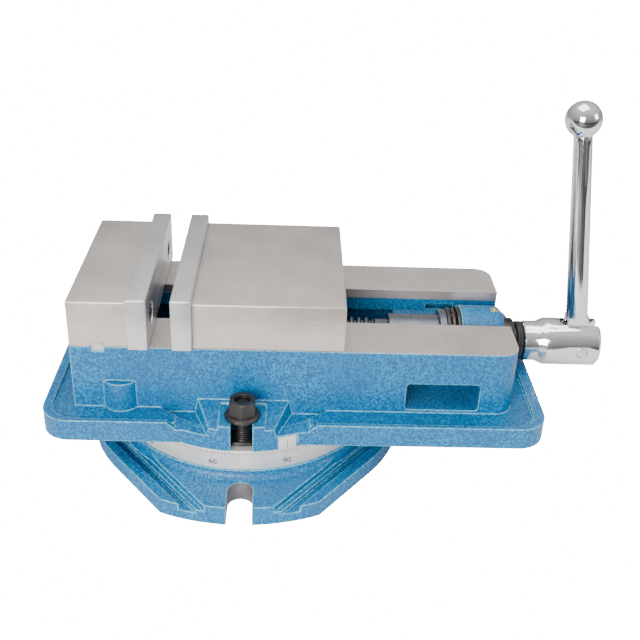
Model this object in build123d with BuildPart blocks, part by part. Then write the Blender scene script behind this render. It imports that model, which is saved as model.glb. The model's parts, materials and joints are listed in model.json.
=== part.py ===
from build123d import *
import os
from math import acos, asin, cos, degrees, radians, sin, tan

# Precision milling vise on a swivel base.  Millimetres.  The origin is on the swivel axis, in
# the plane the base stands on; +X runs along the lead screw to the crank, -Y is the front.

# --- heights, stacked up from the table ---
foot_thk = 16.0  # pads beside the base's slots
edge_strip_thk = 13.0  # strip along the base's slanted edges
groove_step_z = 11.0
groove_floor_z = 8.0
wall_top_z = 22.8  # rough wall of the base, below the graduated ring
base_height = 38.9
body_height = 68.1  # swivel seat to the ground rail tops
rail_top = base_height + body_height
seat_gap = 0.05  # oil film under a seat that slides or turns

# --- swivel base ---
base_radius = 128.0
lobe_radius = 144.2
lobe_half_width = 59.0
wall_radius = 109.5
ring_radius = 107.6
wall_foot_fillet = 5.0
ring_chamfer = 0.8
groove_far = 20.0  # groove edges, measured in from the slanted edge
groove_mid = 16.0
groove_near = 8.2
table_slot_width = 18.8
table_slot_end = 115.0  # swivel axis to the round end of a table slot
spigot_radius = 25.0
spigot_height = 11.0
running_gap = 0.05  # radial clearance of shafts in their holes

# --- swivel clamps: T-bolts in the base's ring slot ---
clamp_reach = 92.0  # swivel axis to a clamp bolt
stud_radius = 6.0  # M12
neck_width = 16.0  # square neck that keeps a bolt from turning
neck_gap = 0.3
neck_rise = 2.6  # how far the neck stands above the base's ring
t_head_width = 21.0
t_head_thk = 9.0
t_slot_floor_z = 13.5
t_slot_ceiling_z = 27.0
nut_across_flats = 19.0
nut_height = 14.6
nut_flange_radius = 13.5
nut_flange_thk = 3.2
stud_below_nut_top = 3.0

# --- body casting ---
flange_left = -151.2
flange_right = 231.1
flange_half = 98.5
flange_corner = 22.0
flange_lift = 0.9  # flange underside above the swivel seat
flange_thk = 17.6
rim_height = 3.0
rim_left = 7.0
rim_right = 8.7
rim_side = 4.0
rim_corner = 20.0
skirt_thk = 12.0
spill_half = 56.0  # half length of the gap in the rim at each clamp
spill_step = 50.5
spill_step_z = 1.5  # step in the spill edge above the skirt
ramp_start = 76.0
body_left = -128.2
body_right = 207.5
rail_half = 74.15
body_corner = 14.0
channel_half = 28.9
channel_left = -100.0
channel_floor_above_tray = 2.6
ground_depth = 8.0  # machined part of the channel's upper walls
cast_recess = 0.5
lip_thk = 19.0
undercut_half = 48.0
end_wall_left = 190.0
end_wall_top_drop = 22.0
lip_notch_left = 148.0
lip_notch_right = 171.0
lip_notch_drop = 12.5
lip_notch_depth = 10.0
window_left = 123.4
window_right = 179.5
window_top_drop = 26.7
window_height = 23.2
window_corner = 3.0
pad_x = -93.0  # jaw bolt pads on the side walls
pad_y = 67.0
pad_radius = 14.0
pad_top_drop = 29.0
boss_half_back = 37.5  # clamp boss footprint, at the wall and at the front
boss_half_front = 23.5
boss_top_back_z = 62.8
boss_top_front_z = 57.0
boss_draft = 10.0
boss_land_half = 17.5
boss_land_z = 60.8  # machined land under a clamp nut
clamp_slot_width = 16.4
index_angle = 18.4  # index land, from the front towards the crank
index_width = 14.0
index_proud = 0.25
index_gap = 1.4

# --- jaws ---
block_height = 36.9
plate_half = 80.0
plate_thk = 14.8
plate_height = 41.0
plate_lift = 0.9
edge_break = 0.5
fixed_block_right = -84.4
jaw_opening = 17.2  # opening as modelled
moving_block_length = 112.4
plate_screw_y = 54.4
plate_screw_up = 19.1  # above the rail tops
plate_screw_radius = 5.0  # M10
plate_screw_head_radius = 8.0
plate_screw_head_thk = 9.5
plate_screw_socket = 8.0
plate_screw_grip = 14.0
head_gap = 0.6  # around a sunk screw head
hole_gap = 0.05  # around a screw's thread
key_left = -112.0
key_width = 9.2
key_height = 8.0
jaw_bolt_radius = 6.0  # M12
jaw_bolt_head_radius = 9.0
jaw_bolt_head_thk = 12.0
jaw_bolt_seat_z = 72.0
jaw_bolt_grip = 20.0

# --- nut and pull-down lock under the moving jaw ---
nut_left = -24.0
nut_length = 40.0
nut_bottom_z = 60.0
nut_side_gap = 0.2
nut_lip_gap = 0.3
nut_wing_half = 44.0
nut_neck_half = 19.0
nut_neck_length = 26.0
nut_neck_rise = 22.0  # above the rail tops
pocket_half = 22.0
pocket_left = -29.0
pocket_right = 34.0
pocket_roof = 9.0
slant = 45.0  # slope of the nut's lock face
half_ball_radius = 8.0
set_screw_radius = 5.0

# --- lead screw ---
screw_drop = 28.8  # rail tops to the screw's axis
screw_z = rail_top - screw_drop
thread_left = -52.0
thread_right = 103.0
thread_radius = 16.0
relief_right = 114.0
relief_radius = 15.0
shank_radius = 19.7
collar_left = 155.0
collar_right = 161.0
collar_radius = 24.0
journal_radius = 15.0
race_thk = 3.0
screw_race_radius = 25.5
body_race_radius = 27.0
thrust_gap = 1.5  # around the collar and the thrust bearing
ball_radius = 2.4
ball_gap = 0.1
ball_count = 12
ball_circle = 20.5
cage_thk = 2.4
boss_left = 172.0
boss_radius = 28.0
boss_nose = 7.0  # rounding of the bearing boss's outer end
bush_radius = 18.0
lock_collar_gap = 0.3
lock_collar_right = 217.0
lock_collar_radius = 18.5
neck_radius = 12.5
stop_ring_left = 219.0
stop_ring_right = 224.4
stop_ring_radius = 16.0
hex_across_flats = 19.0
hex_right = 252.0
hex_gap = 0.15
small_set_screw_radius = 2.5
oiler_x = 199.8
oiler_radius = 3.3
oiler_depth = 9.0
oiler_ball_radius = 1.5

# --- crank ---
hub_left = 225.0
hub_radius = 16.5
hub_taper_left = 236.5
hub_taper_right = 243.0
hub_head_radius = 19.5
hub_right = 287.4
hub_end_chamfer = 2.0
pin_x = 271.6
pin_radius = 4.75
clevis_gap = 0.2
eye_radius = 16.3
eye_thk = 12.0
lever_lean = 7.9  # degrees back from upright, against its stop
lever_start = 25.5  # from the pin's axis to where the round lever begins
lever_end = 178.0
lever_radius_low = 8.8
lever_radius_high = 7.1
ball_knob_radius = 13.8
ball_knob_reach = 190.0
ball_tenon_radius = 4.0
ball_tenon_length = 7.0

# --- worked out from the above ---
swivel_seat = base_height + seat_gap
flange_bottom = base_height + flange_lift
rim_top = flange_bottom + flange_thk
tray_floor = rim_top - rim_height
skirt_top = base_height + skirt_thk
jaw_seat = rail_top + seat_gap
jaw_top = rail_top + block_height
fixed_plate_face = fixed_block_right + plate_thk
moving_plate_face = fixed_plate_face + jaw_opening
moving_block_left = moving_plate_face + plate_thk
moving_block_right = moving_block_left + moving_block_length
plate_screw_z = rail_top + plate_screw_up
channel_floor = tray_floor + channel_floor_above_tray
lip_bottom = rail_top - lip_thk
table_slot_y = table_slot_end + table_slot_width / 2
tangent_angle = degrees(acos(lobe_half_width / lobe_radius) - acos(base_radius / lobe_radius))

parts_folder = "parts"
os.makedirs(parts_folder, exist_ok=True)
screw_axis = Axis((0, 0, screw_z), (1, 0, 0))


def save(builder, label):
    """Label a finished piece and write it as its own STEP file."""
    builder.part.label = label
    export_step(builder.part, f"{parts_folder}/{label}.step")


def block(x0, x1, y0, y1, z0, z1, mode=Mode.ADD):
    """A box between two corners."""
    with BuildSketch(Plane.XY.offset(z0)) as outline:
        with Locations(((x0 + x1) / 2, (y0 + y1) / 2)):
            Rectangle(x1 - x0, y1 - y0)
    extrude(outline.sketch, amount=z1 - z0, mode=mode)


def disc_z(x, y, radius, z0, z1, mode=Mode.ADD):
    """An upright cylinder."""
    with BuildSketch(Plane.XY.offset(z0)) as outline:
        with Locations((x, y)):
            Circle(radius)
    extrude(outline.sketch, amount=z1 - z0, mode=mode)


def disc_x(x0, x1, radius, y=0, z=screw_z, mode=Mode.ADD):
    """A cylinder along X, on the screw's axis unless told otherwise."""
    with BuildSketch(Plane.YZ.offset(x0)) as outline:
        with Locations((y, z)):
            Circle(radius)
    extrude(outline.sketch, amount=x1 - x0, mode=mode)


def ring_x(x0, x1, outer, inner):
    """A plain ring on the screw's axis."""
    with BuildSketch(Plane.YZ.offset(x0)) as outline:
        with Locations((0, screw_z)):
            Circle(outer)
            Circle(inner, mode=Mode.SUBTRACT)
    extrude(outline.sketch, amount=x1 - x0)


def hexagon_x(x0, x1, across_flats, y=0, z=screw_z, mode=Mode.ADD):
    """A hexagonal prism along X."""
    with BuildSketch(Plane.YZ.offset(x0)) as outline:
        with Locations((y, z)):
            RegularPolygon(across_flats / 2, 6, major_radius=False)
    extrude(outline.sketch, amount=x1 - x0, mode=mode)


# --- swivel base: casting with a graduated ring, two table slots and a circular T-slot ---
lobe_half_angle = degrees(asin(lobe_half_width / lobe_radius))
with BuildPart() as swivel_base:
    with BuildSketch():
        Circle(base_radius)
        touch_x = base_radius * cos(radians(tangent_angle))
        for side in (-1, 1):
            touch_y = side * base_radius * sin(radians(tangent_angle))
            corner_y = side * lobe_radius * cos(radians(lobe_half_angle))
            with BuildLine():
                Line((-touch_x, touch_y), (-lobe_half_width, corner_y))
                ThreePointArc(
                    (-lobe_half_width, corner_y), (0, side * lobe_radius), (lobe_half_width, corner_y)
                )
                Line((lobe_half_width, corner_y), (touch_x, touch_y))
                Line((touch_x, touch_y), (-touch_x, touch_y))
            make_face()
    extrude(amount=foot_thk)
    disc_z(0, 0, wall_radius, 0, wall_top_z)
    wall_foot = [
        edge
        for edge in swivel_base.edges().filter_by(GeomType.CIRCLE)
        if abs(edge.radius - wall_radius) < 0.01 and abs(edge.center().Z - foot_thk) < 0.01
    ]
    fillet(wall_foot, wall_foot_fillet)
    disc_z(0, 0, ring_radius, wall_top_z, base_height)
    chamfer(swivel_base.faces().sort_by(Axis.Z)[-1].edges(), ring_chamfer)
    for side_x in (-1, 1):
        for side_y in (-1, 1):
            outward = (side_x * cos(radians(tangent_angle)), side_y * sin(radians(tangent_angle)), 0)
            for far, near, level in (
                (groove_far, 0, edge_strip_thk),
                (groove_far, groove_mid, groove_step_z),
                (groove_mid, groove_near, groove_floor_z),
            ):
                with BuildSketch(Plane(origin=(0, 0, level), x_dir=outward, z_dir=(0, 0, 1))):
                    with Locations((base_radius - (far + near) / 2, 0)):
                        Rectangle(far - near, 2 * lobe_radius)
                    Circle(wall_radius + edge_break, mode=Mode.SUBTRACT)
                extrude(amount=foot_thk, mode=Mode.SUBTRACT)
    for side in (-1, 1):
        disc_z(0, side * table_slot_y, table_slot_width / 2, 0, foot_thk, Mode.SUBTRACT)
        slot_ends = sorted((side * table_slot_y, side * (lobe_radius + 1)))
        block(-table_slot_width / 2, table_slot_width / 2, *slot_ends, 0, foot_thk, Mode.SUBTRACT)
    head_room = t_head_width / 2 + 0.7
    neck_room = neck_width / 2 + 0.6
    for room, low, high in (
        (head_room, t_slot_floor_z, t_slot_ceiling_z),
        (neck_room, t_slot_ceiling_z, base_height),
    ):
        with BuildSketch(Plane.XY.offset(low)):
            Circle(clamp_reach + room)
            Circle(clamp_reach - room, mode=Mode.SUBTRACT)
        extrude(amount=high - low, mode=Mode.SUBTRACT)
    block(
        clamp_reach - head_room,
        clamp_reach + head_room,
        -head_room,
        head_room,
        t_slot_ceiling_z,
        base_height,
        Mode.SUBTRACT,
    )
    disc_z(0, 0, spigot_radius, base_height, base_height + spigot_height)
    chamfer(swivel_base.faces().sort_by(Axis.Z)[-1].edges(), 1.0)
save(swivel_base, "swivel_base")

# --- lower casting of the body: skirt, clamp bosses, index land ---
boss_reach = ring_radius + 4
outer_half = ring_radius + 10
with BuildPart() as skirt:
    for side in (-1, 1):
        with BuildSketch(Plane.XY.offset(skirt_top - 3)):
            with BuildLine():
                Polyline(
                    (-boss_half_back, side * (rail_half - 4)),
                    (-boss_half_back, side * rail_half),
                    (-boss_half_front, side * boss_reach),
                    (boss_half_front, side * boss_reach),
                    (boss_half_back, side * rail_half),
                    (boss_half_back, side * (rail_half - 4)),
                    close=True,
                )
            make_face()
        extrude(amount=boss_top_back_z + 3 - skirt_top, taper=boss_draft)
        with BuildSketch(Plane.YZ.offset(-boss_half_back - 5)):
            with BuildLine():
                Polyline(
                    (side * (rail_half - 5), boss_top_back_z),
                    (side * rail_half, boss_top_back_z),
                    (side * ring_radius, boss_top_front_z),
                    (side * outer_half, boss_top_front_z),
                    (side * outer_half, boss_top_back_z + 9),
                    (side * (rail_half - 5), boss_top_back_z + 9),
                    close=True,
                )
            make_face()
        extrude(amount=2 * boss_half_back + 10, mode=Mode.SUBTRACT)
        land = sorted((side * (clamp_reach - nut_flange_radius - 1), side * boss_reach))
        block(-boss_land_half, boss_land_half, *land, boss_land_z, boss_top_back_z + 1, Mode.SUBTRACT)
        block(-boss_land_half, boss_land_half, *land, skirt_top - 3, boss_land_z)
    with BuildSketch(Plane.XY.offset(skirt_top - 4)):
        Circle(ring_radius)
    extrude(amount=boss_top_back_z + 5 - skirt_top, mode=Mode.INTERSECT)
    with BuildSketch(Plane.XY.offset(swivel_seat)):
        Circle(ring_radius)
    extrude(amount=skirt_top - swivel_seat)
    index_half = degrees(index_width / 2 / ring_radius)
    index_mid = index_angle - 90
    index_z = skirt_top - 1.0
    gap_half = degrees(index_gap / 2 / ring_radius)
    for first, last, inner, outer, mode in (
        (-index_half, index_half, ring_radius - 2, ring_radius + index_proud, Mode.ADD),
        (index_half, index_half + 2 * gap_half, ring_radius - 2, ring_radius + 2, Mode.SUBTRACT),
    ):
        with BuildSketch(Plane.XY.offset(swivel_seat)):
            with BuildLine():
                start = index_mid + first
                sweep = last - first
                a = CenterArc((0, 0), outer, start, sweep)
                b = CenterArc((0, 0), inner, start, sweep)
                Line(a @ 0, b @ 0)
                Line(a @ 1, b @ 1)
            make_face()
        extrude(amount=index_z - swivel_seat, mode=mode)
    disc_z(0, 0, spigot_radius + running_gap, swivel_seat, base_height + spigot_height + 1, Mode.SUBTRACT)

# --- body casting ---
with BuildPart() as bearing_boss:
    disc_x(boss_left, body_right, boss_radius)
    fillet(bearing_boss.edges().sort_by(Axis.X)[-1], boss_nose)
with BuildPart() as vise_body:
    flange_mid = (flange_left + flange_right) / 2
    with BuildSketch(Plane.XY.offset(flange_bottom)):
        with Locations((flange_mid, 0)):
            RectangleRounded(flange_right - flange_left, 2 * flange_half, flange_corner)
        Circle(ring_radius - 10, mode=Mode.SUBTRACT)
    extrude(amount=flange_thk)
    with BuildSketch(Plane.XY.offset(skirt_top)):
        with Locations((flange_mid, 0)):
            Rectangle(flange_right - flange_left - 60, 2 * rail_half)
    extrude(amount=tray_floor - skirt_top)
    tray_left = flange_left + rim_left
    tray_right = flange_right - rim_right
    tray_half = flange_half - rim_side
    with BuildSketch(Plane.XY.offset(tray_floor)):
        with Locations(((tray_left + tray_right) / 2, 0)):
            RectangleRounded(tray_right - tray_left, 2 * tray_half, rim_corner)
    extrude(amount=rim_height, mode=Mode.SUBTRACT)
    for side in (-1, 1):
        # the rim drops at each clamp, so that coolant runs off over the skirt
        with BuildSketch(Plane.XZ.offset(-side * (tray_half - 0.5))):
            with BuildLine():
                Polyline(
                    (-spill_half, rim_top),
                    (-spill_step, skirt_top + spill_step_z),
                    (spill_step, skirt_top + spill_step_z),
                    (spill_half, rim_top),
                    (spill_half, rim_top + 1),
                    (-spill_half, rim_top + 1),
                    close=True,
                )
            make_face()
        extrude(amount=-side * (outer_half - tray_half), mode=Mode.SUBTRACT)
        with BuildSketch(Plane.YZ.offset(-spill_step)):
            with BuildLine():
                Polyline(
                    (side * ramp_start, tray_floor),
                    (side * flange_half, skirt_top),
                    (side * outer_half, skirt_top),
                    (side * outer_half, rim_top + 1),
                    (side * ramp_start, rim_top + 1),
                    close=True,
                )
            make_face()
        extrude(amount=2 * spill_step, mode=Mode.SUBTRACT)
    with BuildSketch(Plane.XY.offset(skirt_top)):
        with Locations(((body_left + body_right) / 2, 0)):
            Rectangle(body_right - body_left, 2 * rail_half)
    extrude(amount=rail_top - skirt_top)
    fillet(
        [
            edge
            for edge in vise_body.edges().filter_by(Axis.Z)
            if abs(edge.center().X - body_right) < 0.01 and abs(edge.center().Y) > rail_half - 1
        ],
        body_corner,
    )
    # channel for the nut: ground upper walls, cast lips, and an undercut for the nut's wings
    cast_half = channel_half + cast_recess
    ground_z = rail_top - ground_depth
    block(channel_left, body_right, -channel_half, channel_half, ground_z, rail_top, Mode.SUBTRACT)
    block(channel_left, body_right, -cast_half, cast_half, channel_floor, ground_z, Mode.SUBTRACT)
    undercut = (channel_left, end_wall_left, -undercut_half, undercut_half)
    block(*undercut, channel_floor, lip_bottom, Mode.SUBTRACT)
    for side in (-1, 1):
        notch = sorted((side * channel_half, side * (channel_half + lip_notch_depth)))
        notch_top = rail_top - lip_notch_drop
        block(lip_notch_left, lip_notch_right, *notch, lip_bottom, notch_top, Mode.SUBTRACT)
        window_mid = ((window_left + window_right) / 2, rail_top - window_top_drop - window_height / 2)
        with BuildSketch(Plane.XZ.offset(-side * (undercut_half - 1))):
            with Locations(window_mid):
                RectangleRounded(window_right - window_left, window_height, window_corner)
        extrude(amount=-side * (rail_half - undercut_half + 2), mode=Mode.SUBTRACT)
        disc_z(pad_x, side * pad_y, pad_radius, skirt_top, rail_top - pad_top_drop)
    # room for the screw's collar and thrust bearing, then the end wall and the bearing boss
    thrust_room = body_race_radius + thrust_gap
    disc_x(collar_left - thrust_gap, boss_left, thrust_room, mode=Mode.SUBTRACT)
    wall_top = rail_top - end_wall_top_drop
    block(end_wall_left, body_right, -cast_half, cast_half, channel_floor, wall_top)
    add(bearing_boss.part)
    disc_x(boss_left, body_right + 1, bush_radius, mode=Mode.SUBTRACT)
    disc_z(oiler_x, 0, oiler_radius, screw_z, rail_top, Mode.SUBTRACT)
    # jaw key slot and jaw bolt holes
    key_bottom = rail_top - key_height / 2
    block(key_left, key_left + key_width, -rail_half, rail_half, key_bottom, rail_top, Mode.SUBTRACT)
    for side in (-1, 1):
        bolt = (pad_x, side * pad_y)
        disc_z(*bolt, jaw_bolt_radius + 0.5, jaw_bolt_seat_z, rail_top, Mode.SUBTRACT)
        disc_z(*bolt, jaw_bolt_head_radius + head_gap, flange_bottom, jaw_bolt_seat_z, Mode.SUBTRACT)
    add(skirt.part)
    for side in (-1, 1):
        slot = sorted((side * (clamp_reach - clamp_slot_width / 2 - neck_gap), side * outer_half))
        slot_half = clamp_slot_width / 2
        block(-slot_half, slot_half, *slot, swivel_seat, boss_top_back_z + 1, Mode.SUBTRACT)
save(vise_body, "vise_body")


def socket_screw_x(face_x, inward, y, z):
    """A socket head screw sunk in a jaw plate, its shank running the way inward points."""
    head_in = face_x + inward * (head_gap + plate_screw_head_thk)
    tip = face_x + inward * (plate_thk + plate_screw_grip)
    shank = sorted((head_in, tip))
    head = sorted((face_x + inward * head_gap, head_in))
    socket = sorted((face_x + inward * head_gap, face_x + inward * (head_gap + plate_screw_head_thk / 2)))
    disc_x(*shank, plate_screw_radius, y, z)
    disc_x(*head, plate_screw_head_radius, y, z)
    hexagon_x(*socket, plate_screw_socket, y, z, Mode.SUBTRACT)


def jaw_plate(face_x, inward):
    """A ground jaw plate with two counterbored holes."""
    with BuildPart() as plate:
        faces = sorted((face_x, face_x + inward * plate_thk))
        plate_bottom = rail_top + plate_lift
        block(*faces, -plate_half, plate_half, plate_bottom, plate_bottom + plate_height)
        chamfer(plate.edges(), edge_break)
        for side in (-1, 1):
            centre = (side * plate_screw_y, plate_screw_z)
            sunk = sorted((face_x, face_x + inward * (head_gap + plate_screw_head_thk)))
            disc_x(*faces, plate_screw_radius + hole_gap, *centre, Mode.SUBTRACT)
            disc_x(*sunk, plate_screw_head_radius + head_gap, *centre, Mode.SUBTRACT)
    return plate


def plate_screws(face_x, inward):
    """The two screws of a jaw plate."""
    with BuildPart() as screws:
        for side in (-1, 1):
            socket_screw_x(face_x, inward, side * plate_screw_y, plate_screw_z)
    return screws


def plate_screw_holes(face_x, inward):
    """Cuts the holes for a jaw plate's screws in the block behind it."""
    depth = sorted((face_x, face_x + inward * (plate_thk + plate_screw_grip + 1)))
    for side in (-1, 1):
        disc_x(*depth, plate_screw_radius + hole_gap, side * plate_screw_y, plate_screw_z, Mode.SUBTRACT)


# --- fixed jaw, its plate, key and bolts ---
with BuildPart() as fixed_jaw:
    block(body_left, fixed_block_right, -rail_half, rail_half, rail_top, jaw_top)
    chamfer(fixed_jaw.edges(), edge_break)
    plate_screw_holes(fixed_plate_face, -1)
    key_top = rail_top + key_height / 2
    block(key_left, key_left + key_width, -rail_half, rail_half, rail_top, key_top, Mode.SUBTRACT)
    for side in (-1, 1):
        bolt_room = jaw_bolt_radius + hole_gap
        disc_z(pad_x, side * pad_y, bolt_room, rail_top, rail_top + jaw_bolt_grip + 1, Mode.SUBTRACT)
save(fixed_jaw, "fixed_jaw")
save(jaw_plate(fixed_plate_face, -1), "fixed_jaw_plate")
save(plate_screws(fixed_plate_face, -1), "fixed_jaw_plate_screws")

with BuildPart() as fixed_jaw_key:
    block(
        key_left + hole_gap,
        key_left + key_width - hole_gap,
        edge_break - rail_half,
        rail_half - edge_break,
        key_bottom + hole_gap,
        key_top - hole_gap,
    )
save(fixed_jaw_key, "fixed_jaw_key")

with BuildPart() as fixed_jaw_bolts:
    for side in (-1, 1):
        bolt = (pad_x, side * pad_y)
        head_low = jaw_bolt_seat_z - jaw_bolt_head_thk
        disc_z(*bolt, jaw_bolt_radius, jaw_bolt_seat_z, rail_top + jaw_bolt_grip)
        disc_z(*bolt, jaw_bolt_head_radius, head_low, jaw_bolt_seat_z)
        with BuildSketch(Plane.XY.offset(head_low)):
            with Locations(bolt):
                RegularPolygon(5.0, 6, major_radius=False)
        extrude(amount=jaw_bolt_head_thk / 2, mode=Mode.SUBTRACT)
save(fixed_jaw_bolts, "fixed_jaw_bolts")

# --- moving jaw, its plate, and the nut that pulls it down as it clamps ---
with BuildPart() as moving_jaw:
    block(moving_block_left, moving_block_right, -rail_half, rail_half, jaw_seat, jaw_top)
    chamfer(moving_jaw.edges(), edge_break)
    pocket = (pocket_left, pocket_right, -pocket_half, pocket_half)
    block(*pocket, jaw_seat, jaw_top - pocket_roof, Mode.SUBTRACT)
    plate_screw_holes(moving_plate_face, 1)
    set_screw_z = rail_top + nut_neck_rise / 2
    set_screw_room = set_screw_radius + hole_gap
    disc_x(pocket_right, moving_block_right, set_screw_room, 0, set_screw_z, Mode.SUBTRACT)
save(moving_jaw, "moving_jaw")
save(jaw_plate(moving_plate_face, 1), "moving_jaw_plate")
save(plate_screws(moving_plate_face, 1), "moving_jaw_plate_screws")

nut_right = nut_left + nut_length
nut_neck_right = nut_left + nut_neck_length
slant_run = nut_neck_rise / 2
with BuildPart() as jaw_nut:
    body_half = channel_half - nut_side_gap
    block(nut_left, nut_right, -body_half, body_half, nut_bottom_z, rail_top - nut_lip_gap)
    block(nut_left, nut_right, -nut_wing_half, nut_wing_half, nut_bottom_z, lip_bottom - nut_lip_gap)
    block(nut_left, nut_neck_right, -nut_neck_half, nut_neck_half, rail_top - 1, rail_top + nut_neck_rise)
    with BuildSketch(Plane.XZ.offset(-nut_neck_half - 1)):
        with BuildLine():
            Polyline(
                (nut_left, rail_top + nut_neck_rise - slant_run),
                (nut_left + slant_run, rail_top + nut_neck_rise),
                (nut_left, rail_top + nut_neck_rise),
                close=True,
            )
        make_face()
    extrude(amount=2 * nut_neck_half + 2, mode=Mode.SUBTRACT)
    disc_x(nut_left, nut_right, thread_radius + running_gap, mode=Mode.SUBTRACT)
save(jaw_nut, "jaw_nut")

# the half ball's flat lies on the nut's slanted face, its dome faces the jaw's front wall
slant_x = nut_left + slant_run / 2
slant_z = rail_top + nut_neck_rise - slant_run / 2
facing = Vector(-sin(radians(slant)), 0, cos(radians(slant)))
with BuildPart(Plane(origin=(slant_x, 0, slant_z), x_dir=(0, 1, 0), z_dir=facing)) as jaw_half_ball:
    Sphere(half_ball_radius)
    split(bisect_by=Plane(origin=(slant_x, 0, slant_z), z_dir=facing), keep=Keep.TOP)
    with BuildSketch(Plane.XY.offset(slant_z - half_ball_radius)):
        with Locations(((pocket_left + slant_x) / 2 + half_ball_radius, 0)):
            Rectangle(slant_x - pocket_left + 2 * half_ball_radius, 4 * half_ball_radius)
    extrude(amount=jaw_top - pocket_roof - slant_z + half_ball_radius, mode=Mode.INTERSECT)
save(jaw_half_ball, "jaw_half_ball")

with BuildPart() as nut_set_screw:
    disc_x(nut_neck_right, moving_block_right - 4, set_screw_radius, 0, set_screw_z)
    hexagon_x(moving_block_right - 10, moving_block_right - 4, 5.0, 0, set_screw_z, Mode.SUBTRACT)
save(nut_set_screw, "nut_set_screw")

# --- lead screw with its thrust bearing, bush and collars ---
with BuildPart() as lead_screw:
    for x0, x1, radius in (
        (thread_left, thread_right, thread_radius),
        (thread_right, relief_right, relief_radius),
        (relief_right, collar_left, shank_radius),
        (collar_left, collar_right, collar_radius),
        (collar_right, lock_collar_right, journal_radius),
        (lock_collar_right, stop_ring_right, neck_radius),
    ):
        disc_x(x0, x1, radius)
    chamfer(lead_screw.faces().sort_by(Axis.X)[0].edges(), 2.0)
    hexagon_x(stop_ring_right, hex_right, hex_across_flats)
save(lead_screw, "lead_screw")

race_bore = journal_radius + running_gap
ball_room = 2 * (ball_radius + ball_gap)
screw_race_right = collar_right + race_thk
body_race_left = screw_race_right + ball_room
with BuildPart() as thrust_race_screw:
    ring_x(collar_right, screw_race_right, screw_race_radius, journal_radius)
save(thrust_race_screw, "thrust_race_screw")
with BuildPart() as thrust_race_body:
    ring_x(body_race_left, boss_left, body_race_radius, race_bore + 0.5)
save(thrust_race_body, "thrust_race_body")

ball_x = (screw_race_right + body_race_left) / 2
ball_angles = [radians(360 * i / ball_count) for i in range(ball_count)]
ball_places = [(ball_x, ball_circle * cos(angle), ball_circle * sin(angle)) for angle in ball_angles]
with BuildPart() as thrust_cage:
    ring_x(ball_x - cage_thk / 2, ball_x + cage_thk / 2, screw_race_radius - 0.5, race_bore + 0.5)
    for _, y, up in ball_places:
        disc_x(
            ball_x - cage_thk, ball_x + cage_thk, ball_radius + ball_gap, y, screw_z + up, Mode.SUBTRACT
        )
save(thrust_cage, "thrust_cage")
with BuildPart() as thrust_balls:
    for x, y, up in ball_places:
        with Locations((x, y, screw_z + up)):
            Sphere(ball_radius)
save(thrust_balls, "thrust_balls")

with BuildPart() as screw_bush:
    ring_x(boss_left, body_right, bush_radius, race_bore)
    disc_z(oiler_x, 0, 1.5, screw_z, rail_top, Mode.SUBTRACT)
save(screw_bush, "screw_bush")

with BuildPart() as lock_collar:
    ring_x(body_right + lock_collar_gap, lock_collar_right, lock_collar_radius, journal_radius)
    chamfer(lock_collar.faces().sort_by(Axis.X)[-1].edges().sort_by(SortBy.LENGTH)[-1], 1.0)
    collar_mid = (body_right + lock_collar_gap + lock_collar_right) / 2
    set_screw_reach = screw_z + lock_collar_radius + 1
    disc_z(collar_mid, 0, small_set_screw_radius + hole_gap, screw_z, set_screw_reach, Mode.SUBTRACT)
save(lock_collar, "lock_collar")
with BuildPart() as lock_collar_screw:
    set_screw_low = screw_z + journal_radius + 0.1
    set_screw_high = screw_z + lock_collar_radius - 0.4
    disc_z(collar_mid, 0, small_set_screw_radius, set_screw_low, set_screw_high)
    with BuildSketch(Plane.XY.offset(set_screw_high)):
        with Locations((collar_mid, 0)):
            RegularPolygon(1.25, 6, major_radius=False)
    extrude(amount=-1.8, mode=Mode.SUBTRACT)
save(lock_collar_screw, "lock_collar_screw")

with BuildPart() as crank_stop_ring:
    ring_x(stop_ring_left, stop_ring_right, stop_ring_radius, neck_radius)
    chamfer(crank_stop_ring.edges().group_by(SortBy.LENGTH)[-1], 0.8)
save(crank_stop_ring, "crank_stop_ring")

# --- ball oiler on the bearing boss ---
oiler_top = screw_z + boss_radius + 0.3
with BuildPart() as oil_fitting:
    disc_z(oiler_x, 0, oiler_radius, oiler_top - oiler_depth, oiler_top)
    ball_seat = oiler_top - oiler_depth + 1.5
    disc_z(oiler_x, 0, oiler_ball_radius + hole_gap, ball_seat, oiler_top, Mode.SUBTRACT)
    disc_z(oiler_x, 0, 0.6, oiler_top - oiler_depth, oiler_top, Mode.SUBTRACT)
save(oil_fitting, "oil_fitting")
with BuildPart() as oil_fitting_ball:
    with Locations((oiler_x, 0, oiler_top - oiler_ball_radius)):
        Sphere(oiler_ball_radius)
save(oil_fitting_ball, "oil_fitting_ball")

# --- folding crank on the screw's hexagon ---
with BuildPart() as crank_hub:
    with BuildSketch(Plane(origin=(0, 0, screw_z), x_dir=(1, 0, 0), z_dir=(0, -1, 0))):
        with BuildLine():
            Polyline(
                (hub_left, 0),
                (hub_left, hub_radius - 1),
                (hub_left + 1, hub_radius),
                (hub_taper_left, hub_radius),
                (hub_taper_right, hub_head_radius),
                (hub_right - hub_end_chamfer, hub_head_radius),
                (hub_right, hub_head_radius - hub_end_chamfer),
                (hub_right, 0),
                close=True,
            )
        make_face()
    revolve(axis=screw_axis)
    hexagon_x(hub_left, hex_right + 0.5, hex_across_flats + 2 * hex_gap, mode=Mode.SUBTRACT)
    slot_left = pin_x - eye_radius - 1.5 * clevis_gap
    slot_half = eye_thk / 2 + clevis_gap
    reach = hub_head_radius + 1
    block(slot_left, hub_right, -slot_half, slot_half, screw_z - reach, screw_z + reach, Mode.SUBTRACT)
    with BuildSketch(Plane.XZ.offset(-reach)):
        with Locations((pin_x, screw_z)):
            Circle(pin_radius)
    extrude(amount=2 * reach, mode=Mode.SUBTRACT)
save(crank_hub, "crank_hub")

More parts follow.
